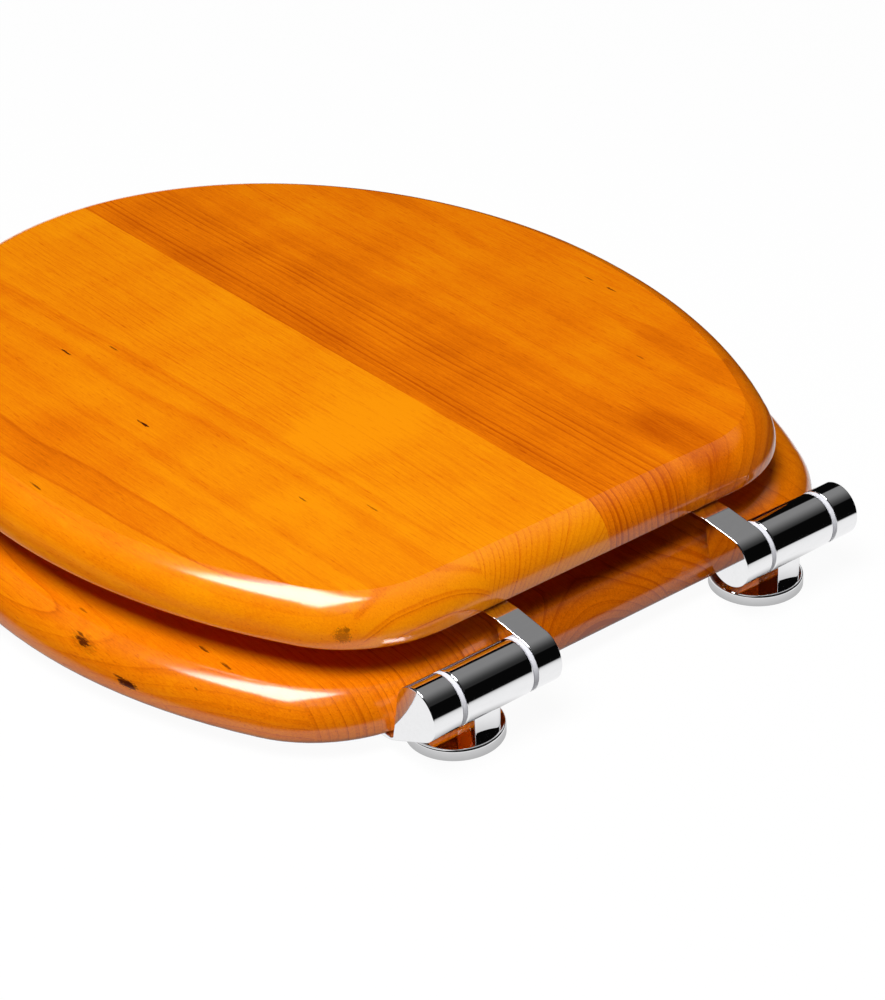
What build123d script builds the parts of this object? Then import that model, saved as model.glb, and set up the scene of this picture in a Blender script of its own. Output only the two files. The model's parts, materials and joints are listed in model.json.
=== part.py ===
from build123d import *
import os
from math import acos, atan2, cos, hypot, radians, sin, tan

# Toilet seat with lid on two barrel hinges, in millimetres.
# The origin is midway between the two fixing holes, on the plane that the hinge feet stand on.
# +Z is up, the front of the seat points to -Y, and +X is the right of a person who faces the front.

# Hinge placing: the axis stands above and behind the fixing holes, and the barrels sit to their left
hole_spacing = 155.0
axis_height = 25.5
axis_setback = 11.1
barrel_shift = 4.75

# Hinge barrels, bushes and pin
barrel_d = 22.0
post_barrel_length = 31.6
post_edge_r = 0.9
right_end_width = 13.5
left_end_width = 11.4
leaf_edge_r = 0.5
flange_thickness = 1.8
flange_inset = 0.15
axial_play = 0.1
sleeve_d = 11.0
sleeve_length = 8.0
sleeve_play = 0.02
pin_d = 8.0
pin_play = 0.05
pin_bevel = 0.6
leaf_bore_depth = 8.0

# Hinge foot and neck
foot_d = 38.0
foot_height = 4.7
foot_edge_r = 1.0
foot_roof = 0.8
neck_width = 14.0
neck_rear = 3.8
neck_front = 7.0
neck_corner_r = 4.0
neck_edge_r = 0.4
thread_core_d = 6.8
gasket_inner_d = 14.0
gasket_outer_d = 33.0
gasket_thickness = 1.2

# Arm plates of the leaves
plate_thickness = 2.2
plate_reach = 62.0
plate_end_r = 5.0
knee_r = 16.0
gusset_r = 1.5
lid_knee = 14.0
lid_gusset_tip = 13.5
seat_knee = 17.0
seat_gusset_tip = 14.6

# Lid panel
lid_rise = 13.0
lid_setback = 20.1
lid_thickness = 18.0
lid_width = 322.4
lid_length = 383.4
lid_flat = 146.0
lid_corner_r = 55.7
lid_corner_turn = 60.0
lid_bottom_r = 1.2
lid_side_land = 0.4
lid_crease = 0.55

# Seat ring panel
seat_drop = 18.2
seat_setback = 16.0
seat_thickness = 18.0
seat_width = 348.0
seat_length = 402.0
seat_flat = 179.6
seat_corner_r = 59.0
seat_corner_turn = 61.5
seat_bottom_r = 2.0
seat_side_land = 0.4

# Opening in the ring
opening_width = 224.0
opening_rear_margin = 80.0
opening_front_margin = 62.0
opening_rear_depth = 111.0
opening_top_r = 9.0
opening_bottom_r = 4.0

# Rubber buffers
buffer_d = 22.0
buffer_tip_d = 19.0
buffer_edge_r = 1.2
buffer_play = 0.1
buffer_front_inset = 42.0
buffer_front_setback = 245.0
buffer_rear_inset = 46.0
buffer_rear_setback = 73.0

# Wood screws, each with a countersunk head
leaf_screw_d = 4.0
leaf_screw_head_d = 7.6
leaf_screw_bite = 11.0
leaf_screw_near = 32.0
leaf_screw_far = 50.0
buffer_screw_d = 3.5
buffer_screw_head_d = 7.0
buffer_screw_bite = 11.0
buffer_screw_sink = 2.5
screw_tip_length = 3.0
screw_head_rim = 0.3
screw_play = 0.05
countersink_angle = 90.0

# Places that follow from the sizes
barrel_r = barrel_d / 2
foot_place = Pos(barrel_shift, -axis_setback, -axis_height)
leaf_start = post_barrel_length / 2 + flange_thickness + 2 * axial_play
lid_z = axis_height + lid_rise
seat_z = axis_height - seat_drop
seat_top_z = seat_z + seat_thickness
lid_rear_y = axis_setback - lid_setback
seat_rear_y = axis_setback - seat_setback
lid_top_r = lid_thickness + lid_crease - lid_bottom_r - lid_side_land
seat_top_r = seat_thickness - seat_bottom_r - seat_side_land
thread_depth = foot_height - foot_roof
lid_screw_z = lid_rise - plate_thickness
seat_screw_z = -seat_drop - plate_thickness
screw_rows = (-leaf_screw_near, -leaf_screw_far)
buffer_front_x = seat_width / 2 - buffer_front_inset
buffer_front_y = seat_rear_y - buffer_front_setback
buffer_rear_x = seat_width / 2 - buffer_rear_inset
buffer_rear_y = seat_rear_y - buffer_rear_setback


def along_x(radius, start, length):
    """Cylinder on the X axis from x = start."""
    bar = Cylinder(radius, length, rotation=(0, 90, 0), align=(Align.CENTER, Align.CENTER, Align.MIN))
    return Pos(start, 0, 0) * bar


def upright(radius, height):
    """Cylinder that stands on z = 0."""
    return Cylinder(radius, height, align=(Align.CENTER, Align.CENTER, Align.MIN))


def screw(diameter, head_d, length, play=0.0):
    """Wood screw that points up from the flat of its head at z = 0, grown by `play` for its hole."""
    radius = diameter / 2 + play
    head_r = head_d / 2 + play
    head_height = screw_head_rim + (head_r - radius) / tan(radians(countersink_angle / 2))
    half = Polyline(
        (0, -play),
        (head_r, -play),
        (head_r, screw_head_rim),
        (radius, head_height),
        (radius, length - screw_tip_length + play),
        (0, length + play),
        close=True,
    )
    return revolve(Plane.XZ * make_face(half), Axis.Z)


def leaf_screw(play=0.0):
    return screw(leaf_screw_d, leaf_screw_head_d, plate_thickness + leaf_screw_bite, play)


def buffer_screw(buffer_height, play=0.0):
    length = buffer_height - buffer_screw_sink + buffer_screw_bite
    return Pos(0, 0, buffer_screw_sink) * screw(buffer_screw_d, buffer_screw_head_d, length, play)


def panel_outline(width, length, flat, corner_r, corner_turn, rear_y):
    """Flat rear, round rear corners, sides that bow out to the full width, half-ellipse front."""
    turned = sin(radians(corner_turn))
    side_r = (width / 2 - flat / 2 - corner_r * turned) / (1 - turned)
    rear = Line((0, rear_y), (flat / 2, rear_y))
    corner = JernArc(rear @ 1, (1, 0), corner_r, -corner_turn)
    side = JernArc(corner @ 1, corner % 1, side_r, corner_turn - 90)
    widest_y = (side @ 1).Y
    front_depth = widest_y - rear_y + length
    front = EllipticalCenterArc((0, widest_y), width / 2, front_depth, 0, arc_size=-90)
    half = Curve() + [rear, corner, side, front]
    return make_face(half + mirror(half, Plane.YZ))


def opening_outline():
    """Egg shape of the opening: a short half-ellipse behind and a long one in front."""
    rear_y = seat_rear_y - opening_rear_margin
    front_y = seat_rear_y - seat_length + opening_front_margin
    widest_y = rear_y - opening_rear_depth
    rear = EllipticalCenterArc((0, widest_y), opening_width / 2, opening_rear_depth, 0, arc_size=180)
    front = EllipticalCenterArc((0, widest_y), opening_width / 2, widest_y - front_y, 0, arc_size=-180)
    return make_face(Curve() + [rear, front])


def tangent_point(point, side):
    """Where a line from `point` touches the barrel circle about the origin."""
    away = hypot(*point)
    angle = atan2(point[1], point[0]) + side * acos(barrel_r / away)
    return barrel_r * cos(angle), barrel_r * sin(angle)


def leaf_profile(plate_height, knee, gusset_tip):
    """Barrel and arm plate along the hinge axis, the front to the left and the plate above the barrel.

    The plate's outer face drops from the knee to a tangent of the barrel. A gusset drops from the
    plate's inner face to the tangent on the other side of the barrel.
    """
    knee_point = (-knee, plate_height)
    tip_point = (-gusset_tip, plate_height - plate_thickness)
    arm = Polyline(
        tangent_point(knee_point, -1),
        knee_point,
        (-plate_reach, plate_height),
        (-plate_reach, plate_height - plate_thickness),
        tip_point,
        tangent_point(tip_point, 1),
    )
    face = make_face(Curve() + [arm, ThreePointArc(arm @ 1, (barrel_r, 0), arm @ 0)])
    face = fillet(face.vertices().sort_by_distance(knee_point)[0], knee_r)
    return fillet(face.vertices().sort_by_distance(tip_point)[0], gusset_r)


def leaf(profile, width, screw_z):
    """Leaf with its barrel on the X axis, its bore open at x = 0 and its screws driven up from `screw_z`."""
    body = extrude(Plane.YZ * profile, width)
    plate_corners = body.edges().filter_by(Axis.Z).group_by(Axis.Y)[0]
    body = fillet(plate_corners, plate_end_r)
    rims = body.faces().filter_by(Axis.X).edges()
    body = fillet(rims - rims.filter_by(Axis.Z), leaf_edge_r)
    body -= along_x(pin_d / 2 + pin_play, 0, leaf_bore_depth)
    return body - leaf_screws(width, screw_z, screw_play)


def leaf_screws(width, screw_z, play=0.0):
    return [Pos(width / 2, y, screw_z) * leaf_screw(play) for y in screw_rows]


def hinge_post():
    """Centre barrel on the X axis, neck, and round foot whose centre lies beside and before the barrel's."""
    barrel = along_x(barrel_r, -post_barrel_length / 2, post_barrel_length)
    barrel = fillet(barrel.edges().filter_by(GeomType.CIRCLE), post_edge_r)
    foot_z = foot_height - axis_height
    neck_plan = Rectangle(neck_width, neck_rear + neck_front, align=(Align.CENTER, Align.MIN))
    neck_plan = Pos(0, -neck_front) * neck_plan
    rear_left = neck_plan.vertices().sort_by_distance((-neck_width, neck_rear))[0]
    neck_plan = fillet(rear_left, neck_corner_r)
    rear_right = neck_plan.vertices().sort_by_distance((neck_width, neck_rear))[0]
    neck_plan = fillet(rear_right, neck_edge_r)
    neck = Pos(0, 0, foot_z) * extrude(neck_plan, -foot_z)
    foot = upright(foot_d / 2, foot_height)
    foot = fillet(foot.edges().group_by(Axis.Z)[-1], foot_edge_r)
    foot -= foot_gasket()
    post = barrel + neck + foot_place * foot
    post -= foot_place * upright(thread_core_d / 2, thread_depth)
    post -= along_x(pin_d / 2 + pin_play, -post_barrel_length / 2, post_barrel_length)
    socket_depth = sleeve_length + axial_play
    socket = along_x(sleeve_d / 2 + sleeve_play, post_barrel_length / 2 - socket_depth, socket_depth)
    return post - socket - mirror(socket, Plane.YZ)


def foot_gasket():
    return upright(gasket_outer_d / 2, gasket_thickness) - upright(gasket_inner_d / 2, gasket_thickness)


def bush():
    """Sleeve that sits in the +X end of the post's barrel, with the flange that keeps the leaf off it."""
    face_x = post_barrel_length / 2
    sleeve = along_x(sleeve_d / 2, face_x - sleeve_length, sleeve_length + axial_play)
    flange = along_x(barrel_r - flange_inset, face_x + axial_play, flange_thickness)
    return sleeve + flange - along_x(pin_d / 2 + pin_play, 0, leaf_start)


def hinge_pin():
    half = leaf_start + leaf_bore_depth - axial_play
    pin = along_x(pin_d / 2, -half, 2 * half)
    return chamfer(pin.edges().filter_by(GeomType.CIRCLE), pin_bevel)


def rubber_buffer(height):
    """Round tapered buffer on z = 0 with its tip down and a sunk hole for its screw."""
    taper = Polyline((0, 0), (buffer_tip_d / 2, 0), (buffer_d / 2, height), (0, height), close=True)
    body = revolve(Plane.XZ * make_face(taper), Axis.Z)
    body = fillet(body.edges().group_by(Axis.Z)[0], buffer_edge_r)
    body -= upright(buffer_screw_head_d / 2 + screw_play, buffer_screw_sink)
    return body - buffer_screw(height, screw_play)


def lid():
    """Lid panel with pilot holes below, its edge rounded over and its top planed down to a faint crease."""
    outline = panel_outline(lid_width, lid_length, lid_flat, lid_corner_r, lid_corner_turn, lid_rear_y)
    panel = Pos(0, 0, lid_z) * extrude(outline, lid_thickness + lid_crease)
    panel = fillet(panel.faces().sort_by(Axis.Z)[-1].edges(), lid_top_r)
    panel = fillet(panel.faces().sort_by(Axis.Z)[0].edges(), lid_bottom_r)
    panel -= Pos(0, 0, lid_z + lid_thickness) * extrude(outline, lid_crease)
    for side in (right, left):
        panel -= lid_leaf_at(side, leaf_screws(end_width[-side], lid_screw_z, screw_play))
        panel -= lid_buffer_at(side) * buffer_screw(lid_buffer_height, screw_play)
    return panel


def seat_ring():
    """Ring panel with its outer edge and the edge of its opening rounded over, and pilot holes below."""
    outline = panel_outline(seat_width, seat_length, seat_flat, seat_corner_r, seat_corner_turn, seat_rear_y)
    panel = Pos(0, 0, seat_z) * extrude(outline, seat_thickness)
    panel = fillet(panel.faces().sort_by(Axis.Z)[-1].edges(), seat_top_r)
    panel = fillet(panel.faces().sort_by(Axis.Z)[0].edges(), seat_bottom_r)
    panel -= Pos(0, 0, seat_z) * extrude(opening_outline(), seat_thickness)
    panel = fillet(panel.faces().sort_by(Axis.Z)[-1].inner_wires()[0].edges(), opening_top_r)
    panel = fillet(panel.faces().sort_by(Axis.Z)[0].inner_wires()[0].edges(), opening_bottom_r)
    for side in (right, left):
        panel -= seat_leaf_at(side, leaf_screws(end_width[side], seat_screw_z, screw_play))
    for place in seat_buffer_places.values():
        panel -= place * buffer_screw(seat_buffer_height, screw_play)
    return panel


def hinge_at(side):
    return Pos(side * hole_spacing / 2 - barrel_shift, axis_setback, axis_height)


def on_end(side, end, pieces):
    """Pieces made for the +X end of a hinge, put at its +X or -X end."""
    return [hinge_at(side) * (piece if end > 0 else mirror(piece, Plane.YZ)) for piece in pieces]


def lid_leaf_at(side, pieces):
    """The lid's leaf is on the end of the hinge that faces the middle of the seat."""
    return on_end(side, -side, [Pos(leaf_start, 0, 0) * piece for piece in pieces])


def seat_leaf_at(side, pieces):
    """The ring's leaf is on the outer end of the hinge."""
    return on_end(side, side, [Pos(leaf_start, 0, 0) * piece for piece in pieces])


def lid_buffer_at(side):
    return Pos(side * buffer_front_x, buffer_front_y, seat_top_z + buffer_play)


right = 1
left = -1
end_width = {right: right_end_width, left: left_end_width}
lid_buffer_height = lid_z - seat_top_z - buffer_play
seat_buffer_height = seat_z
seat_buffer_places = {
    "front_left": Pos(-buffer_front_x, buffer_front_y),
    "front_right": Pos(buffer_front_x, buffer_front_y),
    "rear_left": Pos(-buffer_rear_x, buffer_rear_y),
    "rear_right": Pos(buffer_rear_x, buffer_rear_y),
}

nodes = {"lid": lid(), "seat_ring": seat_ring()}

lid_profile = leaf_profile(lid_rise, lid_knee, lid_gusset_tip)
seat_profile = mirror(leaf_profile(seat_drop + plate_thickness, seat_knee, seat_gusset_tip), Plane.XZ)
for hand, side in (("left", left), ("right", right)):
    place = hinge_at(side)
    lid_leaf = leaf(lid_profile, end_width[-side], lid_screw_z)
    lid_screws = leaf_screws(end_width[-side], lid_screw_z)
    seat_leaf = leaf(seat_profile, end_width[side], seat_screw_z)
    seat_screws = leaf_screws(end_width[side], seat_screw_z)
    nodes[hand + "_hinge_post"] = place * hinge_post()
    nodes[hand + "_foot_gasket"] = place * foot_place * foot_gasket()
    nodes[hand + "_hinge_pin"] = place * hinge_pin()
    nodes[hand + "_inner_bush"] = on_end(side, -side, [bush()])[0]
    nodes[hand + "_outer_bush"] = on_end(side, side, [bush()])[0]
    nodes[hand + "_lid_leaf"] = lid_leaf_at(side, [lid_leaf])[0]
    nodes[hand + "_lid_leaf_screws"] = Compound(lid_leaf_at(side, lid_screws))
    nodes[hand + "_seat_leaf"] = seat_leaf_at(side, [seat_leaf])[0]
    nodes[hand + "_seat_leaf_screws"] = Compound(seat_leaf_at(side, seat_screws))
    nodes["lid_buffer_" + hand] = lid_buffer_at(side) * rubber_buffer(lid_buffer_height)

for name, place in seat_buffer_places.items():
    nodes["seat_buffer_" + name] = place * rubber_buffer(seat_buffer_height)
lid_buffer_places = [lid_buffer_at(side) for side in (left, right)]
lid_buffer_screws = [place * buffer_screw(lid_buffer_height) for place in lid_buffer_places]
nodes["lid_buffer_screws"] = Compound(lid_buffer_screws)
seat_buffer_screws = [place * buffer_screw(seat_buffer_height) for place in seat_buffer_places.values()]
nodes["seat_buffer_screws"] = Compound(seat_buffer_screws)

os.makedirs("parts", exist_ok=True)
for name, shape in nodes.items():
    export_step(shape, f"parts/{name}.step")
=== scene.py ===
"""Finish for a pine toilet seat: lacquered staves, chrome hinges, screws, threads and a white studio."""

import json
from dataclasses import dataclass
from math import hypot, pi, radians

import bpy
import numpy as np
from bpy.props import FloatProperty, FloatVectorProperty, IntProperty, PointerProperty
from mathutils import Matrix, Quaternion, Vector

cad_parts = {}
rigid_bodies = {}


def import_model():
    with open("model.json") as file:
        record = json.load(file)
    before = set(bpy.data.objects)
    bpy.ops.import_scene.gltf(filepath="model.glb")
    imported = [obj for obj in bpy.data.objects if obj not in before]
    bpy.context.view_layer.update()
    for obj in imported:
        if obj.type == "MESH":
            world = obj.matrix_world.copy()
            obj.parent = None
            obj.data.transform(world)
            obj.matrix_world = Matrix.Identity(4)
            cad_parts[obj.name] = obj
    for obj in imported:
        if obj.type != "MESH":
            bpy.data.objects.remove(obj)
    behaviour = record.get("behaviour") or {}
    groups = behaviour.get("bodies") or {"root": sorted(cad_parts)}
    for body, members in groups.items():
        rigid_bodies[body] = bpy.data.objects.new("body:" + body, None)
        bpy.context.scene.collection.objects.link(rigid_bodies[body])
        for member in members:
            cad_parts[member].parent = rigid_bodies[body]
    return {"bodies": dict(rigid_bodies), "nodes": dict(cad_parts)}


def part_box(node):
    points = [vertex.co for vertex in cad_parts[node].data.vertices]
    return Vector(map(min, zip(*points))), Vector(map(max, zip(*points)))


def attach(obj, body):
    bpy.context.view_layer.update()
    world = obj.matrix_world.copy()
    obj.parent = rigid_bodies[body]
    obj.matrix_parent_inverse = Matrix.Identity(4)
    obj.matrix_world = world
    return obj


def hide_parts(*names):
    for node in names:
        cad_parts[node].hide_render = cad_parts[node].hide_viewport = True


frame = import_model()

bl_info = {
    "name": "Pine Toilet Seat Finish",
    "version": (1, 0, 0),
    "blender": (4, 5, 0),
    "location": "View3D > Sidebar > Seat",
    "description": "Gives the seat its lacquered wood, chrome, screws, threads and studio",
    "category": "Object",
}

MM = 0.001


def clear_start_scene():
    """Take away the start-up file's own objects, so that only the frame is left."""
    own = set(frame["bodies"].values()) | set(frame["nodes"].values())
    for thing in [thing for thing in bpy.data.objects if thing not in own]:
        bpy.data.objects.remove(thing)


clear_start_scene()
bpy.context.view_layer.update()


# Wood: how each stave was sawn from its log


@dataclass(frozen=True)
class Stave:
    """One glued-up stave, in millimetres. `edge` is its -X side, and the log's pith runs along Y.

    `spacing` is the width of a year's ring in the middle of the top face. Rings narrow outwards by the
    power `growth`, and the pith drifts in X by `lean` for each millimetre along Y. `depth` is how dark the
    rings are, and `tone` how deep the wood is between them.
    """

    edge: float
    pith_x: float
    pith_z: float
    spacing: float
    growth: float
    lean: float
    depth: float
    tone: float
    seed: float
    middle_x: float
    top_z: float

    @property
    def middle_r(self):
        return hypot(self.middle_x - self.pith_x, self.top_z - self.pith_z)

    @property
    def power(self):
        return 1 + self.growth

    @property
    def turns(self):
        return self.middle_r / self.spacing / self.power


SEED_STEP = 7.3
STAVE_FIELDS = ("pith_x", "pith_z", "middle_r", "power", "turns", "lean", "depth", "tone", "seed")


def top_of(node):
    """Height of a node's top face in millimetres."""
    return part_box(node)[1].z / MM


def sawn(node, rows):
    """Staves from rows of (edge, pith x, pith z, spacing, growth, lean, depth, tone), in order of X."""
    ends = [row[0] for row in rows[1:]] + [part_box(node)[1].x / MM]
    staves = []
    for number, (row, end) in enumerate(zip(rows, ends)):
        staves.append(Stave(*row, seed=SEED_STEP * number, middle_x=(row[0] + end) / 2, top_z=top_of(node)))
    return staves


LID_STAVES = sawn("lid", (
    (-170.0, -60.0, -20.0, 5.0, 0.0, 0.02, 0.18, 0.37),
    (-127.0, -120.0, 5.0, 6.0, 0.0, 0.02, 0.22, 0.35),
    (-67.0, -112.0, 20.0, 5.0, 0.0, 0.0, 0.26, 0.42),
    (-50.0, -78.0, 43.0, 3.2, 0.4, 0.0, 0.60, 0.50),
    (-7.5, -35.0, 5.0, 2.1, 0.0, 0.01, 0.28, 0.10),
    (51.5, 84.0, 10.0, 6.5, 0.0, -0.05, 0.36, 0.10),
    (104.0, 128.0, 85.0, 8.0, 0.0, -0.076, 0.42, 0.15),
))
RING_STAVES = sawn("seat_ring", (
    (-180.0, -60.0, -30.0, 4.0, 0.0, 0.02, 0.25, 0.40),
    (-93.5, -10.0, -40.0, 4.2, 0.0, 0.0, 0.40, 0.48),
    (-34.0, 0.0, -12.0, 3.6, 0.0, 0.0, 0.45, 0.48),
    (46.0, 190.0, 14.0, 2.8, 0.0, 0.03, 0.36, 0.30),
    (128.0, 132.0, -46.0, 3.4, 0.0, 0.05, 0.40, 0.32),
))

LID_TOP = top_of("lid")
RING_TOP = top_of("seat_ring")

# Dark flecks in the wood, in millimetres: x, y, z, half-length along the grain, half-width, and darkness
LID_FLECKS = (
    (77.0, -261.0, LID_TOP, 3.6, 0.55, 1.00),
    (60.0, -250.0, LID_TOP, 3.4, 0.48, 0.80),
    (87.0, -186.0, LID_TOP, 4.0, 0.65, 1.00),
    (146.0, -173.0, LID_TOP, 4.0, 0.42, 0.80),
    (74.0, -95.0, LID_TOP, 2.8, 0.42, 0.70),
    (58.0, -71.0, LID_TOP, 3.6, 0.36, 0.55),
    (-133.0, -148.0, LID_TOP, 3.4, 0.50, 0.80),
    (-133.0, -163.0, LID_TOP, 3.0, 0.42, 0.70),
    (-100.0, -93.5, LID_TOP, 3.0, 0.40, 0.50),
    (110.0, -22.0, 45.0, 4.6, 3.0, 0.50),
    (112.0, -20.5, 43.6, 2.6, 1.4, 0.75),
    (108.0, -22.5, 46.8, 2.2, 1.2, 0.65),
)
RING_FLECKS = (
    (165.5, -115.0, 21.4, 5.0, 1.9, 0.95),
    (164.0, -117.0, 22.4, 4.0, 0.6, 0.80),
    (165.6, -114.5, 21.2, 8.0, 3.2, 0.26),
    (163.0, -89.0, 14.0, 7.5, 1.6, 1.00),
    (163.8, -95.0, 15.4, 3.6, 0.5, 0.80),
    (162.0, -72.0, 15.0, 7.0, 0.5, 0.45),
    (137.0, -75.0, RING_TOP, 3.4, 0.60, 0.80),
    (137.0, -60.0, RING_TOP, 3.4, 0.60, 0.80),
    (159.0, -82.0, 19.5, 3.0, 0.45, 0.60),
    (150.0, -60.0, 20.2, 3.4, 0.50, 0.60),
    (156.5, -128.0, RING_TOP, 3.0, 0.45, 0.50),
)

# Soft lighter or darker patches, in millimetres: x, y, half-width, half-length and change of tone; some are
# painted shade
LID_TONE_AND_SHADE_PATCHES = (
    (22.0, -125.0, 34.0, 26.0, -0.22),
    (-68.0, -32.0, 13.0, 32.0, 0.34),
    (-15.0, -200.0, 9.0, 200.0, 0.12),
    (-58.0, -160.0, 9.0, 160.0, 0.10),
    (120.0, -185.0, 22.0, 40.0, 0.14),
    # Painted shade: this wide deeper patch darkens the lid's near front, where the light falls off
    (105.0, -260.0, 110.0, 160.0, 0.10),
)
# Painted shade: the ring's rear between the hinges, under the lid's rear edge, is drawn deeper
RING_SHADE_PATCHES = (
    (-20.0, -10.0, 60.0, 12.0, 0.16),
)

# Darkness of the wood over one year's growth, from its start to its end
LATE_WOOD = ((0.0, 0.30), (0.07, 0.0), (0.5, 0.05), (0.78, 0.40), (0.94, 1.0), (1.0, 0.30))

# How the year rings waver: steps of noise for each millimetre, and reach in millimetres
SWAY_ACROSS = 0.02
SWAY_ALONG = 0.006
SWAY_SIDEWAYS = 9.0
SWAY_UPWARD = 7.0
LEAN_MIDDLE = -150.0

# How the years differ: steps of noise for each ring, shift in rings, and the least strength of a ring
YEAR_STEP = 0.37
YEAR_SHIFT = 0.9
FAINTEST_YEAR = 0.25

# Noise of the grain: its steps for each millimetre across and along the staves, and its detail
FIBRE = (1.5, 0.05, 3.0)
SPECK = (3.0, 0.6, 1.0)
CLOUD = (0.022, 0.034, 2.0)
PORES = (1.9, 0.16, 0.0)
RAGGED = (2.2, 0.35, 2.0)

# Eased steps, from nothing to the full effect: noise for a pore, reaches for a fleck and a patch, and parts
# of the surface's direction for the start of the end grain, its rest, and the painted shade on downward faces
PORE_STEP = (0.18, 0.30)
FLECK_STEP = (1.2, 0.6)
PATCH_STEP = (1.15, 0.55)
END_START = (0.0, 0.12)
END_REST = (0.1, 0.9)
UNDERSIDE_SHADE_STEP = (-0.4, -0.9)

START_SHARE = 0.45
RAGGED_REACH = 1.8
MIDDLE_TONE = 0.45
LACQUER_IOR = 1.5
LACQUER_SPECULAR = 0.7


# Settings that a user would change


def colour(name, description, default):
    return FloatVectorProperty(
        name=name, description=description, default=default, size=3, min=0, max=1, subtype="COLOR"
    )


def length(name, description, default):
    return FloatProperty(
        name=name, description=description, default=default, min=0, precision=5, subtype="DISTANCE",
        unit="LENGTH",
    )


def place(name, description, default):
    return FloatVectorProperty(
        name=name, description=description, default=default, size=3, precision=4, subtype="XYZ",
        unit="LENGTH",
    )


def share(name, description, default):
    return FloatProperty(name=name, description=description, default=default, min=0, max=1, subtype="FACTOR")


def level(name, description, default, unit="NONE"):
    return FloatProperty(name=name, description=description, default=default, min=0, precision=3, unit=unit)


def count(name, description, default):
    return IntProperty(name=name, description=description, default=default, min=4, max=128)


class SeatWoodSettings(bpy.types.PropertyGroup):
    """Colours, grain and lacquer of the lid and the ring."""

    pale: colour("Pale", "Early wood under the lacquer", (0.98, 0.31, 0.002))
    middle: colour("Middle", "Wood between the lines", (0.84, 0.19, 0.001))
    deep: colour("Deep", "Late wood in the lines", (0.55, 0.088, 0.0))
    fleck: colour("Fleck", "Resin flecks and the small knot", (0.075, 0.010, 0.001))
    fibre: share("Fibre", "How strongly the fine fibres show", 0.60)
    speck: share("Speck", "How strongly the finest grain shows", 0.35)
    cloud: share("Cloud", "How strongly the wide soft clouds show", 0.50)
    pores: share("Pores", "How strongly the short dark pores show", 0.22)
    end_gain: share("End lines", "How much darker the lines are in end grain", 0.90)
    end_tone: share("End tone", "How much deeper the wood is in end grain", 0.06)
    # Painted shade: faces that look down are drawn deeper, which darkens them and the light they throw into
    # the gap
    underside_shade: share("Underside", "How much deeper the wood is on the underside", 0.50)
    lacquer: share("Lacquer roughness", "Roughness of the gloss lacquer", 0.13)
    ripple: share("Lacquer ripple", "How far the grain shows in the gloss", 0.05)


class SeatMetalSettings(bpy.types.PropertyGroup):
    """Colours of the hinges, pins, screws and bushes."""

    chrome: colour("Chrome", "Polished chrome plate", (0.86, 0.86, 0.87))
    zinc: colour("Zinc", "Zinc-plated steel", (0.50, 0.51, 0.53))
    nylon: colour("Nylon", "Bushes between the barrels", (0.92, 0.92, 0.98))
    polish: share("Chrome roughness", "Roughness of the chrome", 0.025)


class SeatRubberSettings(bpy.types.PropertyGroup):
    """Colours of the buffers and the foot gaskets."""

    buffer: colour("Buffer", "Off-white rubber under the lid and the ring", (0.62, 0.58, 0.49))
    gasket: colour("Gasket", "Black rubber in the feet", (0.012, 0.012, 0.013))


class SeatThreadSettings(bpy.types.PropertyGroup):
    """Sizes of the screws' and the feet's small detail."""

    leaf_shank: length("Leaf screw", "Diameter of the screws in the leaves", 4.0 * MM)
    buffer_shank: length("Buffer screw", "Diameter of the screws in the buffers", 3.5 * MM)
    pitch: length("Screw pitch", "Rise of a wood screw's thread in one turn", 1.8 * MM)
    tip: length("Screw tip", "Length of a wood screw's point", 3.0 * MM)
    core_cut: share("Core cut", "Share of the shank's radius that the thread cuts away", 0.32)
    rim: length("Head rim", "Height of the straight rim of a screw's head", 0.3 * MM)
    recess_width: length("Recess width", "Width of an arm of the cross recess", 1.0 * MM)
    recess_reach: length("Recess reach", "Length of an arm from the middle of the head", 2.2 * MM)
    recess_depth: length("Recess depth", "Depth of the cross recess", 1.3 * MM)
    foot_bore: length("Foot bore", "Diameter of the hole in a hinge foot", 6.8 * MM)
    foot_pitch: length("Foot pitch", "Rise of the foot's thread in one turn", 1.25 * MM)
    foot_depth: length("Foot thread depth", "Depth of the foot's thread", 0.45 * MM)
    foot_start: length("Foot thread start", "Height at which the foot's thread starts", 0.3 * MM)
    foot_height: length("Foot thread end", "Height at which the foot's thread ends", 3.7 * MM)
    foot_gap: length("Foot thread gap", "Clearance between the thread and the bore", 0.02 * MM)
    columns: count("Columns", "Points around a screw", 48)
    head_rows: count("Head rows", "Rings of points on a screw's head", 22)
    turn_rows: count("Turn rows", "Rings of points in one turn of a thread", 10)


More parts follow.
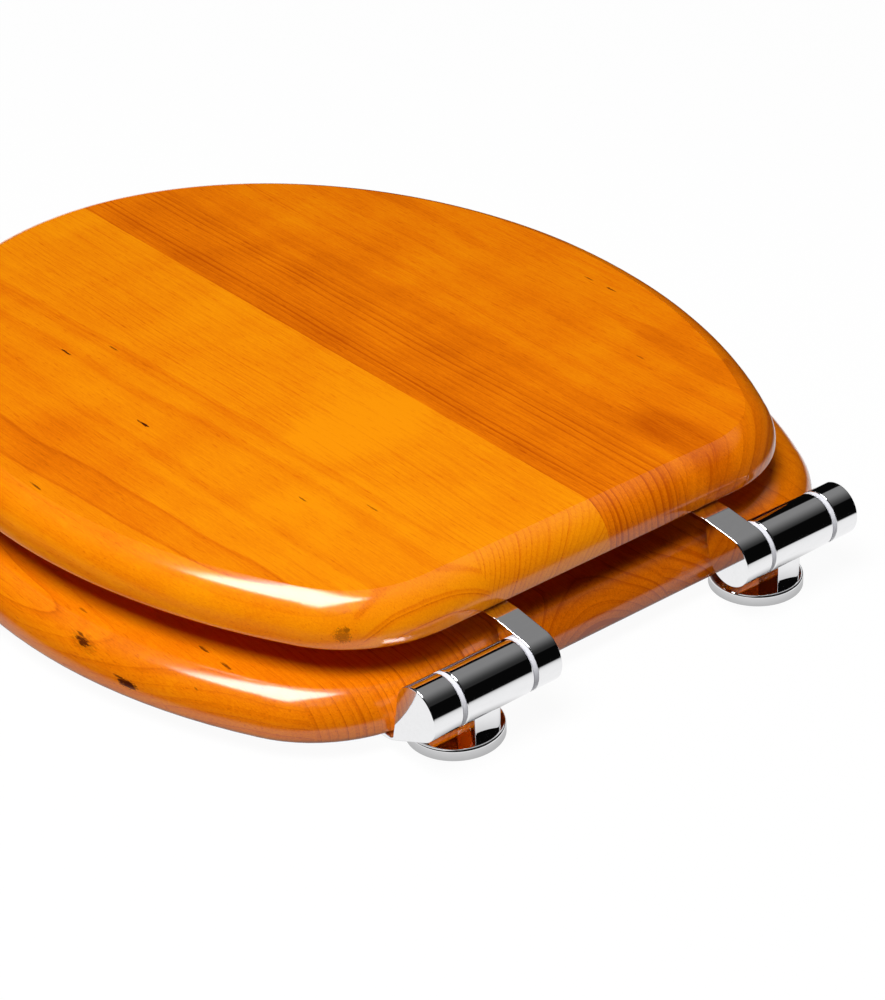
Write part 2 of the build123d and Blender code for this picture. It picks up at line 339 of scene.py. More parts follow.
class SeatStageSettings(bpy.types.PropertyGroup):
    """Camera and light of the studio."""

    camera: place("Camera place", "Where the camera stands", (0.58699, 0.65659, 0.59872))
    aim: place("Camera aim", "What the camera looks at", (0.00727, -0.09336, 0.030))
    roll: FloatProperty(
        name="Camera roll", description="Turn of the camera about its own line of sight", subtype="ANGLE",
        default=radians(-2.2027),
    )
    lens: level("Lens", "Focal length in millimetres", 98.914, "CAMERA")
    ambient: level("Ambient", "Even light from overhead", 0.32)
    ceiling: level("Ceiling", "Brightness of the ceiling in the gloss", 0.225)
    key: level("Key", "Soft lamp from the right and above", 68.0, "POWER")
    key_place: place("Key place", "Where the soft lamp hangs", (0.85, 0.22, 2.3))
    key_aim: place("Key aim", "What the soft lamp faces", (0.0, -0.05, 0.04))
    key_side: length("Key side", "Side of the soft lamp", 1.3)
    softbox: level("Softbox", "Brightness of the panel seen in the gloss", 15.0)
    softbox_place: place("Softbox place", "Middle of the panel seen in the gloss", (0.36, -0.28, 1.1))
    softbox_half: length("Softbox half", "Half the side of the panel seen in the gloss", 0.38)
    floor_half: length("Floor half", "Half the side of the floor", 6.0)
    floor_shade: share("Floor shade", "How much of the shadow the white floor shows", 0.05)
    floor_bounce: share("Floor bounce", "How much light the floor throws back under the seat", 0.10)
    table_half: length("Table half", "Half the width of the table in the gloss", 0.17)
    table_back: length("Table back", "Where the table starts to fade behind the seat, in the gloss", 0.02)
    table_fade: length("Table fade", "Length over which the table fades, in the gloss", 0.36)


SETTINGS = {
    "seat_wood": SeatWoodSettings,
    "seat_metal": SeatMetalSettings,
    "seat_rubber": SeatRubberSettings,
    "seat_threads": SeatThreadSettings,
    "seat_stage": SeatStageSettings,
}


# Shader maths

MATH_INPUTS = ("Value", "Value_001", "Value_002")
WHITE = (1.0, 1.0, 1.0)
BLACK = (0.0, 0.0, 0.0)


class Wire:
    """A socket of a node tree. Arithmetic on it adds Math nodes to the tree."""

    def __init__(self, bench, socket):
        self.bench = bench
        self.socket = socket

    def math(self, operation, *others):
        return self.bench.maths(operation, self, *others)

    def __add__(self, other):
        return self.math("ADD", other)

    def __radd__(self, other):
        return self.math("ADD", other)

    def __sub__(self, other):
        return self.math("SUBTRACT", other)

    def __rsub__(self, other):
        return self.bench.maths("SUBTRACT", other, self)

    def __mul__(self, other):
        return self.math("MULTIPLY", other)

    def __rmul__(self, other):
        return self.math("MULTIPLY", other)

    def __truediv__(self, other):
        return self.math("DIVIDE", other)

    def __rtruediv__(self, other):
        return self.bench.maths("DIVIDE", other, self)

    def __pow__(self, other):
        return self.math("POWER", other)

    def __rpow__(self, other):
        return self.bench.maths("POWER", other, self)

    def __gt__(self, other):
        return self.math("GREATER_THAN", other)

    def __abs__(self):
        return self.math("ABSOLUTE")


class Bench:
    """A node tree that is being wired."""

    def __init__(self, tree):
        self.tree = tree
        tree.nodes.clear()

    def node(self, kind, settings=None, sockets=None, out=None):
        """Add a node, set its settings, then fill its sockets with values or links. Gives its output `out`.

        Without `out` it gives the first output, or nothing where the node has none.
        """
        node = self.tree.nodes.new(kind)
        for name, value in (settings or {}).items():
            if name == "stops":
                set_stops(node.color_ramp, value)
            else:
                setattr(node, name, value)
        inputs = {socket.identifier: socket for socket in node.inputs}
        for name, value in (sockets or {}).items():
            if isinstance(value, Wire):
                self.tree.links.new(value.socket, inputs[name])
            else:
                inputs[name].default_value = value
        outputs = {socket.identifier: socket for socket in node.outputs}
        if not outputs:
            return None
        return Wire(self, outputs[out] if out else node.outputs[0])

    def maths(self, operation, *values):
        return self.node("ShaderNodeMath", {"operation": operation}, dict(zip(MATH_INPUTS, values)))

    def vector(self, x, y, z):
        return self.node("ShaderNodeCombineXYZ", None, {"X": x, "Y": y, "Z": z})

    def split(self, vector):
        """The three parts of a vector."""
        first = self.node("ShaderNodeSeparateXYZ", None, {"Vector": vector})
        return [Wire(self, socket) for socket in first.socket.node.outputs]

    def noise(self, vector, scale=1.0, detail=2.0, out="Fac"):
        sockets = {"Vector": vector, "Scale": scale, "Detail": detail}
        return self.node("ShaderNodeTexNoise", None, sockets, out)

    def smooth(self, value, low, high):
        """0 at `low`, 1 at `high` and an eased step between."""
        sockets = {"Value": value, "From Min": low, "From Max": high}
        return self.node("ShaderNodeMapRange", {"interpolation_type": "SMOOTHSTEP"}, sockets, "Result")

    def ramp(self, value, stops):
        return self.node("ShaderNodeValToRGB", {"stops": stops}, {"Fac": value}, "Color")

    def blend(self, factor, first, second):
        """Colour that goes from `first` to `second`."""
        sockets = {"Factor_Float": factor, "A_Color": opaque(first), "B_Color": opaque(second)}
        return self.node("ShaderNodeMix", {"data_type": "RGBA"}, sockets, "Result_Color")

    def vector_maths(self, operation, out="Vector", **sockets):
        return self.node("ShaderNodeVectorMath", {"operation": operation}, sockets, out)

    def coordinates(self, kind="Object"):
        return self.node("ShaderNodeTexCoord", None, None, kind)

    def millimetres(self):
        """Object coordinates in millimetres."""
        return self.vector_maths("SCALE", Vector=self.coordinates(), Scale=1 / MM)

    def ray(self, kind):
        """1 where the ray is of that kind, 0 elsewhere."""
        return self.node("ShaderNodeLightPath", None, None, f"Is {kind} Ray")

    def bump(self, height, strength, distance):
        sockets = {"Height": height, "Strength": strength, "Distance": distance}
        return self.node("ShaderNodeBump", None, sockets)

    def surface(self, shader):
        self.node("ShaderNodeOutputMaterial", None, {"Surface": shader})

    def finish(self, **sockets):
        """Principled shader with the sockets' values, named with underscores, joined to the output."""
        sockets = {name.replace("_", " "): value for name, value in sockets.items()}
        self.surface(self.node("ShaderNodeBsdfPrincipled", None, sockets))


def opaque(value):
    """A colour with full alpha; a wire as it is."""
    return value if isinstance(value, Wire) else (*value, 1.0)


def set_stops(ramp, stops):
    """Give a ramp its (position, grey or colour) stops."""
    while len(ramp.elements) < len(stops):
        ramp.elements.new(1.0)
    for element, (position, value) in zip(ramp.elements, stops):
        element.position = position
        element.color = opaque((value,) * 3 if isinstance(value, (int, float)) else value)


def material(name):
    made = bpy.data.materials.new(name)
    made.use_nodes = True
    return made, Bench(made.node_tree)


def darker(tint, keep):
    return tuple(keep * part for part in tint)


# Materials


def stave_value(masks, staves, field):
    """The field of the stave that a point lies in, stepped at the glue lines."""
    values = [getattr(stave, field) for stave in staves]
    value = values[0]
    for mask, before, after in zip(masks, values, values[1:]):
        value = mask * (after - before) + value
    return value


def year_rings(bench, spot, staves):
    """Darkness of the late wood, 0 to 1, and each stave's tone.

    The rings lie at the radius sqrt(across * across + up * up) about the pith, and waver along the grain.
    """
    x, y, z = bench.split(spot)
    masks = [x > stave.edge for stave in staves[1:]]
    pick = {field: stave_value(masks, staves, field) for field in STAVE_FIELDS}
    drift = bench.vector(x * SWAY_ACROSS, y * SWAY_ALONG + pick["seed"], z * SWAY_ACROSS)
    sideways, upward = bench.split(bench.noise(drift, out="Color"))[:2]
    across = x - pick["pith_x"] - pick["lean"] * (y - LEAN_MIDDLE) + (sideways - 0.5) * SWAY_SIDEWAYS
    up = z - pick["pith_z"] + (upward - 0.5) * SWAY_UPWARD
    radius = (across * across + up * up) ** 0.5
    rings = (radius / pick["middle_r"]) ** pick["power"] * pick["turns"]
    step = rings * YEAR_STEP + pick["seed"]
    uneven = bench.node("ShaderNodeTexNoise", {"noise_dimensions": "1D"}, {"W": step}, "Fac")
    rings = rings + uneven * YEAR_SHIFT
    late = bench.ramp(rings.math("FRACT"), LATE_WOOD)
    year = rings.math("FLOOR") + pick["seed"]
    chance = bench.node("ShaderNodeTexWhiteNoise", {"noise_dimensions": "1D"}, {"W": year}, "Value")
    return late * (chance * (1 - FAINTEST_YEAR) + FAINTEST_YEAR) * pick["depth"], pick["tone"]


def grain(bench, spot, across, along, detail):
    """Noise about zero, drawn out along the staves."""
    scaled = bench.vector_maths("MULTIPLY", Vector=spot, Vector_001=(across, along, across))
    return bench.noise(scaled, detail=detail) - 0.5


def reaches_from(bench, spot, middle, reach):
    """Distance from `middle`, counted in the reach along each axis. An axis without a reach adds nothing."""
    away = bench.vector_maths("SUBTRACT", Vector=spot, Vector_001=middle)
    steps = tuple(1 / part if part else 0.0 for part in reach)
    away = bench.vector_maths("MULTIPLY", Vector=away, Vector_001=steps)
    return bench.vector_maths("LENGTH", "Value", Vector=away)


def marks(bench, spot, rows):
    """The flecks' darkness inside ellipsoids along the grain, 0 outside, with ragged edges."""
    ragged = grain(bench, spot, *RAGGED) * RAGGED_REACH
    found = 0.0
    for x, y, z, half, wide, dark in rows:
        away = reaches_from(bench, spot, (x, y, z), (wide, half, wide)) + ragged
        found = (bench.smooth(away, *FLECK_STEP) * dark).math("MAXIMUM", found)
    return found


def patches(bench, spot, rows):
    """Sum of soft patches of tone that run through the whole thickness: the wood's own tone, and painted
    shade.
    """
    total = 0.0
    for x, y, wide, half, change in rows:
        away = reaches_from(bench, spot, (x, y, 0.0), (wide, half, None))
        total = bench.smooth(away, *PATCH_STEP) * change + total
    return total


def pine(name, look, staves, flecks, tone_and_shade_patches):
    """Amber gloss lacquer over glued-up pine, as a solid grain that runs through the panel."""
    made, bench = material(name)
    spot = bench.millimetres()
    late, tone = year_rings(bench, spot, staves)
    facing = bench.split(bench.coordinates("Normal"))
    slope = abs(facing[1])
    end = bench.smooth(slope, *END_START) * START_SHARE + bench.smooth(slope, *END_REST) * (1 - START_SHARE)
    # Painted shade: faces that look down get a deeper tone
    below = bench.smooth(facing[2], *UNDERSIDE_SHADE_STEP)
    fibre = grain(bench, spot, *FIBRE)
    speck = grain(bench, spot, *SPECK)
    cloud = grain(bench, spot, *CLOUD)
    pores = bench.smooth(grain(bench, spot, *PORES), *PORE_STEP)
    tone = tone + late * (end * look.end_gain + 1.0) + end * look.end_tone + below * look.underside_shade
    tone = tone + fibre * look.fibre + speck * look.speck + cloud * look.cloud + pores * look.pores
    # Patches of the wood's own tone, and patches of painted shade
    tone = tone + patches(bench, spot, tone_and_shade_patches)
    stops = ((0.0, tuple(look.pale)), (MIDDLE_TONE, tuple(look.middle)), (1.0, tuple(look.deep)))
    wood = bench.blend(marks(bench, spot, flecks), bench.ramp(tone, stops), tuple(look.fleck))
    bench.finish(
        Base_Color=wood,
        Roughness=fibre * 0.05 + look.lacquer,
        Normal=bench.bump(fibre + speck, strength=look.ripple, distance=0.2 * MM),
        IOR=LACQUER_IOR,
        Specular_IOR_Level=LACQUER_SPECULAR,
    )
    return made


def chrome(look):
    """Polished chrome plate with faint wiping marks."""
    made, bench = material("polished_chrome")
    wiped = bench.vector_maths("MULTIPLY", Vector=bench.millimetres(), Vector_001=(0.15, 0.5, 0.5))
    wipe = bench.noise(wiped, detail=3.0)
    plate = bench.blend(wipe, tuple(look.chrome), darker(look.chrome, keep=0.94))
    bench.finish(Base_Color=plate, Metallic=1.0, Roughness=wipe * 0.03 + look.polish)
    return made


def zinc(look):
    """Zinc-plated steel with a faint spangle."""
    made, bench = material("zinc_steel")
    spot = bench.millimetres()
    spangle = bench.node("ShaderNodeTexVoronoi", None, {"Vector": spot, "Scale": 1.4}, "Distance")
    cloud = bench.noise(spot, scale=2.5, detail=3.0)
    plate = bench.blend(spangle * 0.6 + cloud * 0.4, tuple(look.zinc), darker(look.zinc, keep=0.72))
    bench.finish(Base_Color=plate, Metallic=1.0, Roughness=cloud * 0.2 + 0.2)
    return made


def nylon(look):
    """Milky nylon with a soft gloss."""
    made, bench = material("milky_nylon")
    spot = bench.millimetres()
    cloud = bench.noise(spot, scale=0.35, detail=3.0)
    bench.finish(
        Base_Color=bench.blend(cloud, tuple(look.nylon), darker(look.nylon, keep=0.92)),
        Roughness=cloud * 0.1 + 0.25,
        Normal=bench.bump(bench.noise(spot, scale=6.0), strength=0.05, distance=0.05 * MM),
    )
    return made


def rubber(name, tint):
    """Moulded rubber with a fine matt skin."""
    made, bench = material(name)
    spot = bench.millimetres()
    skin = bench.noise(spot, scale=4.0, detail=4.0)
    cloud = bench.noise(spot, scale=0.2, detail=2.0)
    bench.finish(
        Base_Color=bench.blend(cloud, tuple(tint), darker(tint, keep=0.82)),
        Roughness=skin * 0.2 + 0.5,
        Normal=bench.bump(skin, strength=0.15, distance=0.08 * MM),
    )
    return made


# Shapes

SHARP_ANGLE = radians(40)

# Shares of a screw head's radius, of the recess's width and reach, and of a foot thread's depth
FIRST_RING = 0.06
RECESS_SIDE = 0.3
RECESS_SLOPE = 0.8
THREAD_ROOT = 0.2
THREAD_END = 0.1


def tube_mesh(name, rings, places=((0.0, 0.0, 0.0),), poles=None):
    """Mesh of like tubes, one at each place, each from a grid of points, rows by columns, that closes round.

    Without `poles` the last row joins the first. With them, fans to the two poles close the ends.
    """
    rows, columns = rings.shape[:2]
    index = np.arange(rows * columns).reshape(rows, columns)
    beside = np.roll(index, -1, axis=1)
    quads = np.stack([index, beside, np.roll(beside, -1, axis=0), np.roll(index, -1, axis=0)], axis=-1)
    points = rings.reshape(-1, 3)
    kinds = [quads.reshape(-1, 4)]
    if poles is not None:
        first, last = len(points), len(points) + 1
        points = np.vstack([points, poles])
        bottom = np.stack([np.full(columns, first), beside[0], index[0]], axis=1)
        top = np.stack([np.full(columns, last), index[-1], beside[-1]], axis=1)
        kinds = [quads[:-1].reshape(-1, 4), bottom, top]
    starts = len(points) * np.arange(len(places))[:, None, None]
    faces = []
    for kind in kinds:
        faces += (starts + kind).reshape(-1, kind.shape[1]).tolist()
    mesh = bpy.data.meshes.new(name)
    mesh.from_pydata((np.array(places)[:, None] + points).reshape(-1, 3).tolist(), [], faces)
    mesh.shade_smooth()
    mesh.set_sharp_from_angle(angle=SHARP_ANGLE)
    return mesh


def add_object(name, data):
    thing = bpy.data.objects.new(name, data)
    bpy.context.scene.collection.objects.link(thing)
    return thing


def ridge(turns):
    """Triangle wave of a thread's section: 1 at whole turns, 0 half-way."""
    return np.abs(2 * (turns % 1.0) - 1)


def around(radius, angle, height):
    """Points at a radius, an angle and a height, on one grid."""
    return np.stack(np.broadcast_arrays(radius * np.cos(angle), radius * np.sin(angle), height), axis=-1)


def wood_screw(sizes, head_d, shank_d, height):
    """Rings and poles of a wood screw that points up from the flat of its head at z = 0.

    The outline runs from the middle of the head over its rim, up the countersink and the shank to the tip.
    A point of the shank lies at radius = core + (outer - core) * triangle(z / pitch - angle / turn), and both
    radii shrink to nothing over the tip. In the head, z grows by the depth of a cross with tapered arms.
    """
    head_r, shank_r = head_d / 2, shank_d / 2
    shoulder = sizes.rim + head_r - shank_r
    angle = np.linspace(0, 2 * pi, sizes.columns, endpoint=False)[None, :]
    flat = np.linspace(FIRST_RING, 1.0, sizes.head_rows)[:, None] * head_r
    x, y = flat * np.cos(angle), flat * np.sin(angle)
    arm = np.maximum(cross_arm(sizes, x, y), cross_arm(sizes, y, x))
    head = np.stack([x, y, sizes.recess_depth * arm], axis=-1)
    cone_z = np.array([sizes.rim, (sizes.rim + shoulder) / 2, shoulder])[:, None]
    cone_r = np.array([head_r, (head_r + shank_r) / 2, shank_r])[:, None]
    rise = np.arange(shoulder, height, sizes.pitch / sizes.turn_rows)[1:, None]
    start = np.clip((rise - shoulder) / sizes.pitch, 0, 1)
    taper = np.clip((height - rise) / sizes.tip, 0, 1)
    core = shank_r * (1 - sizes.core_cut * start)
    radius = taper * (core + (shank_r - core) * ridge(rise / sizes.pitch - angle / (2 * pi)))
    poles = [(0, 0, sizes.recess_depth), (0, 0, height)]
    return np.concatenate([head, around(cone_r, angle, cone_z), around(radius, angle, rise)]), poles


def cross_arm(sizes, along, over):
    """1 in an arm of the cross recess, eased to 0 at its sides and its ends."""
    inwards = sizes.recess_width / 2 - np.abs(over)
    sides = np.clip(inwards / (RECESS_SIDE * sizes.recess_width) + 0.5, 0, 1)
    ends = np.clip((sizes.recess_reach - np.abs(along)) / (RECESS_SLOPE * sizes.recess_reach), 0, 1)
    return sides * ends


def thread_lining(sizes):
    """Rings of the thread in a foot's hole, about the hole's axis.

    The outer wall stands just inside the bore. The inner wall lies at
    radius = bore - depth * (root + (1 - root) * triangle(z / pitch - angle / turn)), and the depth fades over
    the first and the last turn.
    """
    bore = sizes.foot_bore / 2 - sizes.foot_gap
    low, high = sizes.foot_start, sizes.foot_height
    angle = np.linspace(0, 2 * pi, sizes.columns, endpoint=False)[None, :]
    rise = np.arange(high, low, -sizes.foot_pitch / sizes.turn_rows)[:, None]
    fade = np.clip(np.minimum(high - rise, rise - low) / sizes.foot_pitch, THREAD_END, 1)
    crest = ridge(rise / sizes.foot_pitch - angle / (2 * pi))
    inner = bore - fade * sizes.foot_depth * (THREAD_ROOT + (1 - THREAD_ROOT) * crest)
    outer = np.full_like(angle, bore)
    return around(np.vstack([outer, outer, inner]), angle, np.vstack([[[low]], [[high]], rise]))


# Operators


def finish_nodes(made, *names):
    """Give CAD nodes their material."""
    for name in names:
        slots = frame["nodes"][name].data.materials
        slots.clear()
        slots.append(made)


def both(*names):
    return [hand + "_" + name for hand in ("left", "right") for name in names]


def shared_steel(context):
    """The zinc-plated steel of the pins, screws and threads, made when it is first needed."""
    return bpy.data.materials.get("zinc_steel") or zinc(context.scene.seat_metal)


class SEAT_OT_lid(bpy.types.Operator):
    """Give the lid its lacquered staves."""

    bl_idname = "seat.finish_lid"
    bl_label = "Finish Lid"

    def execute(self, context):
        made = pine("lid_pine", context.scene.seat_wood, LID_STAVES, LID_FLECKS, LID_TONE_AND_SHADE_PATCHES)
        finish_nodes(made, "lid")
        return {"FINISHED"}


class SEAT_OT_ring(bpy.types.Operator):
    """Give the seat ring its lacquered staves."""

    bl_idname = "seat.finish_ring"
    bl_label = "Finish Ring"

    def execute(self, context):
        made = pine("ring_pine", context.scene.seat_wood, RING_STAVES, RING_FLECKS, RING_SHADE_PATCHES)
        finish_nodes(made, "seat_ring")
        return {"FINISHED"}


class SEAT_OT_hinges(bpy.types.Operator):
    """Chrome the hinge posts and the leaves, and finish the pins and the bushes."""

    bl_idname = "seat.finish_hinges"
    bl_label = "Finish Hinges"

    def execute(self, context):
        look = context.scene.seat_metal
        finish_nodes(chrome(look), *both("hinge_post", "lid_leaf", "seat_leaf"))
        finish_nodes(shared_steel(context), *both("hinge_pin"))
        finish_nodes(nylon(look), *both("inner_bush", "outer_bush"))
        return {"FINISHED"}


class SEAT_OT_rubber(bpy.types.Operator):
    """Finish the buffers and the foot gaskets."""

    bl_idname = "seat.finish_rubber"
    bl_label = "Finish Rubber"

    def execute(self, context):
        look = context.scene.seat_rubber
        buffers = [name for name in frame["nodes"] if "_buffer_" in name and not name.endswith("screws")]
        finish_nodes(rubber("buffer_rubber", look.buffer), *buffers)
        finish_nodes(rubber("gasket_rubber", look.gasket), *both("foot_gasket"))
        return {"FINISHED"}


class SEAT_OT_screws(bpy.types.Operator):
    """Put threaded screws with a cross recess in place of the plain ones."""

    bl_idname = "seat.add_screws"
    bl_label = "Add Screws"

    def execute(self, context):
        sizes = context.scene.seat_threads
        steel = shared_steel(context)
        for node, body in zip(both("lid_leaf_screws", "seat_leaf_screws"), ("lid", "seat") * 2):
            low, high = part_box(node)
            head_d = high.x - low.x
            middle = (low.x + high.x) / 2
            places = [(middle, y, low.z) for y in (low.y + head_d / 2, high.y - head_d / 2)]
            self.add(node, body, places, head_d, sizes.leaf_shank, steel, sizes)
        low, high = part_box("lid_buffer_screws")
        head_d = high.y - low.y
        for body in ("lid", "seat"):
            kind = body + "_buffer_"
            node = kind + "screws"
            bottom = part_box(node)[0].z
            boxes = [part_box(name) for name in frame["nodes"] if name.startswith(kind) and name != node]
            places = [(*((low + high) / 2).xy, bottom) for low, high in boxes]
            self.add(node, body, places, head_d, sizes.buffer_shank, steel, sizes)
        return {"FINISHED"}

    @staticmethod
    def add(node, body, places, head_d, shank_d, steel, sizes):
        low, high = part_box(node)
        rings, poles = wood_screw(sizes, head_d, shank_d, high.z - low.z)
        name = node + "_threaded"
        piece = add_object(name, tube_mesh(name, rings, places, poles))
        piece.data.materials.append(steel)
        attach(piece, body)
        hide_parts(node)


class SEAT_OT_threads(bpy.types.Operator):
    """Line the holes of the hinge feet with a thread."""

    bl_idname = "seat.add_foot_threads"
    bl_label = "Add Foot Threads"

    def execute(self, context):
        rings = thread_lining(context.scene.seat_threads)
        steel = shared_steel(context)
        for hand in ("left", "right"):
            low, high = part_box(hand + "_foot_gasket")
            axis = (*((low + high) / 2).xy, 0.0)
            name = hand + "_foot_thread"
            piece = add_object(name, tube_mesh(name, rings, [axis]))
            piece.data.materials.append(steel)
            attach(piece, "base")
        return {"FINISHED"}


class SEAT_OT_stage(bpy.types.Operator):
    """Set the white floor, the studio light and the camera."""

    bl_idname = "seat.set_stage"
    bl_label = "Set Stage"

    def execute(self, context):
        look = context.scene.seat_stage
        lay_floor(look)
        light_world(context.scene, look)
        hang_lamp(look)
        hang_softbox(look)
        stand_camera(context.scene, look)
        context.scene.view_settings.view_transform = "Standard"
        return {"FINISHED"}


# Stage

SHEET_CORNERS = ((-1, -1, 0), (1, -1, 0), (1, 1, 0), (-1, 1, 0))
PAINT = (0.9, 0.9, 0.9)
NEAR_BLACK = (0.003, 0.003, 0.003)

# Where the floor's own light sets in, in half-widths of the ring from its middle
BOUNCE_STEP = (1.1, 2.2)

# The table in the gloss, in metres, how much faster it ends at its sides, and its level in the painted shadow
# at a foot
TABLE_WHOLE = 0.02
SIDE_SPEED = 6.0
FOOT_SHADOW_STEP = (0.012, 0.036)
FOOT_SHADOW_LEVEL = 0.4

# Share of the softbox's half over which its light sets in
SOFTBOX_STEP = (1.0, 0.7)

# The room in the gloss and the light from overhead: parts of a direction, and levels of light
CEILING_ALONG = (0.55, -0.2)
CEILING_ACROSS = (0.05, -0.25)
CEILING_EDGE = (0.60, 0.64)
CEILING_LEAST = 0.024
ROOM_LEVEL = 0.0025
OVERHEAD_STEP = (0.55, 1.0)
OVERHEAD_TILT = 0.4


def add_level_sheet(name, half, middle, made):
    """Level square sheet of the stage."""
    corners = np.array(middle) + half * np.array(SHEET_CORNERS)
    mesh = bpy.data.meshes.new(name)
    mesh.from_pydata(corners.tolist(), [], [(0, 1, 2, 3)])
    mesh.materials.append(made)
    sheet = add_object(name, mesh)
    return sheet


def table_in_gloss(bench, look, x, y):
    """1 on the table near the seat, as the gloss sees it, 0 where the dark room starts, less in a painted
    shadow round each foot.
    """
    beside = (abs(x) - look.table_half).math("MAXIMUM", 0.0) * SIDE_SPEED
    behind = (y - look.table_back).math("MAXIMUM", 0.0)
    table = bench.smooth((beside * beside + behind * behind) ** 0.5, look.table_fade, TABLE_WHOLE)
    low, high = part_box("right_foot_gasket")
    foot = abs(x) - (low.x + high.x) / 2
    # Painted shadow: round each foot the table's glow in the gloss is dimmed
    painted_foot_shadow = bench.smooth((foot * foot + y * y) ** 0.5, *FOOT_SHADOW_STEP)
    return table * (painted_foot_shadow * (1 - FOOT_SHADOW_LEVEL) + FOOT_SHADOW_LEVEL)


def lay_floor(look):
    """White table under the feet, clear from below.

    The camera sees it white with a faint shadow. The gloss sees it end in a dark room, and the light that it
    throws back fades out under the seat.
    """
    made, bench = material("white_floor")
    x, y = bench.split(bench.coordinates())[:2]
    low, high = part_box("seat_ring")
    wide = (x - (low.x + high.x) / 2) / ((high.x - low.x) / 2)
    deep = (y - (low.y + high.y) / 2) / ((high.y - low.y) / 2)
    outside = bench.smooth((wide * wide + deep * deep) ** 0.5, *BOUNCE_STEP)
    bounce = outside * (1 - look.floor_bounce) + look.floor_bounce
    camera = bench.ray("Camera")
    seen = camera.math("MAXIMUM", bench.ray("Transmission"))
    glossy = bench.ray("Glossy")
    brightness = seen + glossy * table_in_gloss(bench, look, x, y) + (1 - seen - glossy) * bounce
    tint = bench.blend(brightness, NEAR_BLACK, WHITE)
    glow = bench.node("ShaderNodeEmission", None, {"Color": tint, "Strength": 1.0})
    paint = bench.node("ShaderNodeBsdfDiffuse", None, {"Color": opaque(PAINT)})
    sockets = {"Fac": camera * look.floor_shade, "Shader": glow, "Shader_001": paint}
    above = bench.node("ShaderNodeMixShader", None, sockets)
    back = bench.node("ShaderNodeNewGeometry", None, None, "Backfacing")
    sockets = {"Fac": back, "Shader": above, "Shader_001": bench.node("ShaderNodeBsdfTransparent")}
    bench.surface(bench.node("ShaderNodeMixShader", None, sockets))
    add_level_sheet("studio_floor", look.floor_half, BLACK, made)


def hang_softbox(look):
    """Bright panel with soft edges overhead, seen only in the gloss."""
    made, bench = material("softbox_cloth")
    x, y = bench.split(bench.coordinates())[:2]
    middle = look.softbox_place
    half = look.softbox_half
    across = bench.smooth(abs((x - middle[0]) / half), *SOFTBOX_STEP)
    along = bench.smooth(abs((y - middle[1]) / half), *SOFTBOX_STEP)
    tint = bench.blend((across * along) ** 2.0, BLACK, WHITE)
    bench.surface(bench.node("ShaderNodeEmission", None, {"Color": tint, "Strength": look.softbox}))
    panel = add_level_sheet("softbox_panel", half, middle, made)
    panel.visible_camera = False
    panel.visible_diffuse = False
    panel.visible_transmission = False
    panel.visible_shadow = False


def light_world(scene, look):
    """White behind the object, even light on it, and in the gloss a dark room under a grey ceiling."""
    world = bpy.data.worlds.new("white_studio")
    world.use_nodes = True
    world.cycles.sampling_method = "NONE"
    bench = Bench(world.node_tree)
    across, along, height = bench.split(bench.coordinates("Generated"))
    ceiling = bench.smooth(along, *CEILING_ALONG) * bench.smooth(across, *CEILING_ACROSS) * look.ceiling
    room = bench.smooth(height, *CEILING_EDGE) * (ceiling + CEILING_LEAST) + ROOM_LEVEL
    overhead = bench.smooth(height - along * OVERHEAD_TILT, *OVERHEAD_STEP) * look.ambient
    seen = bench.ray("Camera").math("MAXIMUM", bench.ray("Transmission"))
    glossy = bench.ray("Glossy")
    brightness = seen + (1 - seen) * (glossy * room + (1 - glossy) * overhead)
    sky = bench.node("ShaderNodeBackground", None, {"Color": opaque(WHITE), "Strength": brightness})
    bench.node("ShaderNodeOutputWorld", None, {"Surface": sky})
    scene.world = world


def facing_turn(thing, aim):
    """Turn that points a lamp's or a camera's front at `aim`."""
    return (Vector(aim) - thing.location).to_track_quat("-Z", "Y")


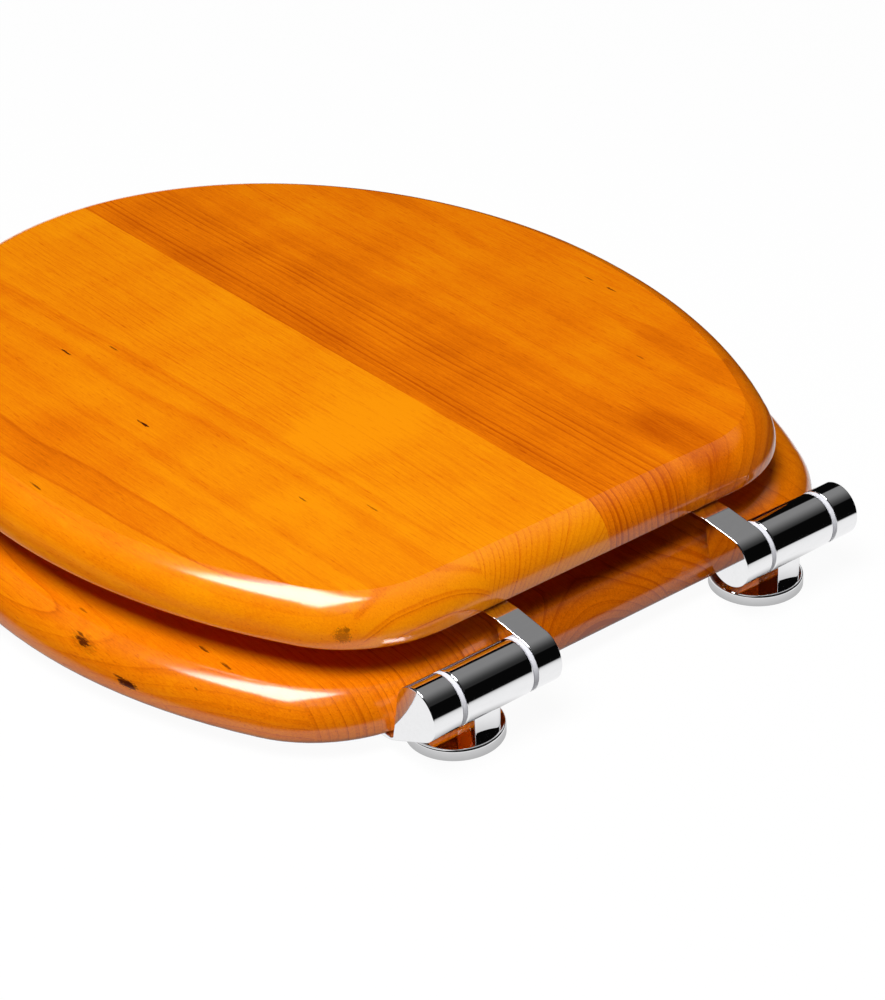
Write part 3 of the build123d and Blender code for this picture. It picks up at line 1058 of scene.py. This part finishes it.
def hang_lamp(look):
    """Square lamp that faces the seat and lights all but its gloss."""
    lamp = bpy.data.lights.new("key_lamp", "AREA")
    lamp.shape = "SQUARE"
    lamp.size = look.key_side
    lamp.energy = look.key
    thing = add_object("key_lamp", lamp)
    thing.location = look.key_place
    thing.rotation_euler = facing_turn(thing, look.key_aim).to_euler()
    thing.visible_camera = False
    thing.visible_glossy = False
    thing.visible_transmission = False


def stand_camera(scene, look):
    """Camera behind and above the hinge side."""
    lens = bpy.data.cameras.new("camera")
    lens.lens = look.lens
    lens.clip_start = 0.01
    thing = add_object("camera", lens)
    thing.location = look.camera
    thing.rotation_mode = "QUATERNION"
    thing.rotation_quaternion = facing_turn(thing, look.aim) @ Quaternion((0, 0, 1), look.roll)
    scene.camera = thing


# Add-on

OPERATORS = (
    SEAT_OT_lid,
    SEAT_OT_ring,
    SEAT_OT_hinges,
    SEAT_OT_rubber,
    SEAT_OT_screws,
    SEAT_OT_threads,
    SEAT_OT_stage,
)


class SEAT_PT_sidebar(bpy.types.Panel):
    """Lists the operators and their settings."""

    bl_label = "Toilet Seat"
    bl_space_type = "VIEW_3D"
    bl_region_type = "UI"
    bl_category = "Seat"

    def draw(self, context):
        for operator in OPERATORS:
            self.layout.operator(operator.bl_idname)
        for name, group in SETTINGS.items():
            box = self.layout.box()
            for setting in group.__annotations__:
                box.prop(getattr(context.scene, name), setting)


def register():
    for name, group in SETTINGS.items():
        bpy.utils.register_class(group)
        setattr(bpy.types.Scene, name, PointerProperty(type=group))
    for kind in (*OPERATORS, SEAT_PT_sidebar):
        bpy.utils.register_class(kind)


def unregister():
    for kind in (SEAT_PT_sidebar, *reversed(OPERATORS)):
        bpy.utils.unregister_class(kind)
    for name, group in SETTINGS.items():
        delattr(bpy.types.Scene, name)
        bpy.utils.unregister_class(group)


def main():
    register()
    bpy.ops.seat.finish_lid()
    bpy.ops.seat.finish_ring()
    bpy.ops.seat.finish_hinges()
    bpy.ops.seat.finish_rubber()
    bpy.ops.seat.add_screws()
    bpy.ops.seat.add_foot_threads()
    bpy.ops.seat.set_stage()


if __name__ == "__main__":
    main()
